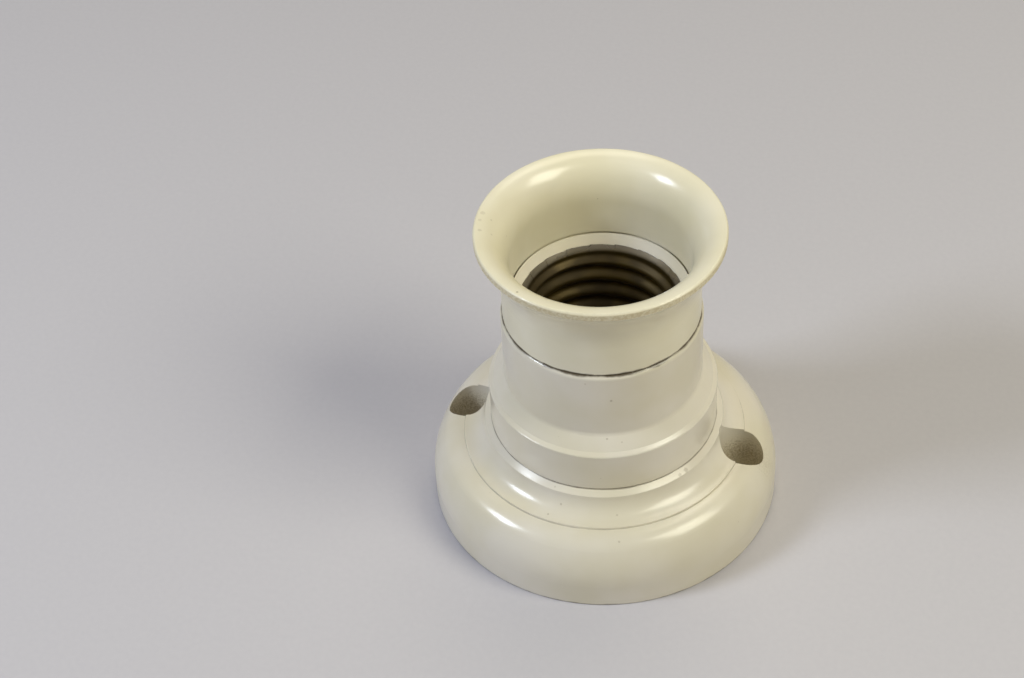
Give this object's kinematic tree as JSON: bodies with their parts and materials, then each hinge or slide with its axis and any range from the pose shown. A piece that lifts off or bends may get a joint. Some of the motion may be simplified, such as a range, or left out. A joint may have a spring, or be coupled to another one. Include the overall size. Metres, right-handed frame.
{
  "type": "batten lamp holder",
  "caption": "Round moulded batten lamp holder: domed base with fixing holes, screwed stepped body, flared skirt ring and a threaded shell for an Edison screw lamp.",
  "frame": {"origin": "centre of the base's flat back face, on the lamp's axis", "axes": "+Z along the lamp's axis, the way the lamp unscrews; X through the two fixing holes"},
  "size_m": [0.063, 0.063, 0.0604],
  "materials": {
    "cream_moulding": "moulded urea plastic, cream, half gloss",
    "steatite": "fired steatite, off-white",
    "zinc_plated_steel": "turned, zinc plated",
    "brass": "stamped and turned, dull",
    "phosphor_bronze": "rolled spring strip",
    "nickel_plated_brass": "rolled sheet, nickel plated, dulled by age"
  },
  "bodies": {
    "base": {"mounting_base": "cream_moulding", "contact_block": "steatite", "block_screw_1": "zinc_plated_steel", "block_screw_2": "zinc_plated_steel", "block_washer_1": "zinc_plated_steel", "block_washer_2": "zinc_plated_steel", "block_nut_1": "zinc_plated_steel", "block_nut_2": "zinc_plated_steel", "live_terminal": "brass", "neutral_terminal": "brass", "live_clamp_washer": "brass", "neutral_clamp_washer": "brass", "centre_contact": "phosphor_bronze", "shell_contact": "phosphor_bronze", "centre_contact_rivet": "brass", "shell_contact_rivet": "brass"},
    "live_screw": {"live_clamp_screw": "brass"},
    "neutral_screw": {"neutral_clamp_screw": "brass"},
    "body": {"body_cover": "cream_moulding", "screw_shell": "nickel_plated_brass"},
    "skirt": {"skirt_ring": "cream_moulding"}
  },
  "joints": [
    {"name": "body_lift", "type": "slide", "parent": "base", "child": "body", "axis": [0, 0, 1], "range_m": [0, 0.03]},
    {"name": "skirt_lift", "type": "slide", "parent": "body", "child": "skirt", "axis": [0, 0, 1], "range_m": [0, 0.015]},
    {"name": "live_screw_turn", "type": "hinge", "parent": "base", "child": "live_screw", "pos_m": [0.0106, 0, 0.0218], "axis": [0, 0, 1], "range_deg": [0, 1080]},
    {"name": "neutral_screw_turn", "type": "hinge", "parent": "base", "child": "neutral_screw", "pos_m": [-0.00841, 0, 0.0218], "axis": [0, 0, 1], "range_deg": [0, 1080]}
  ]
}
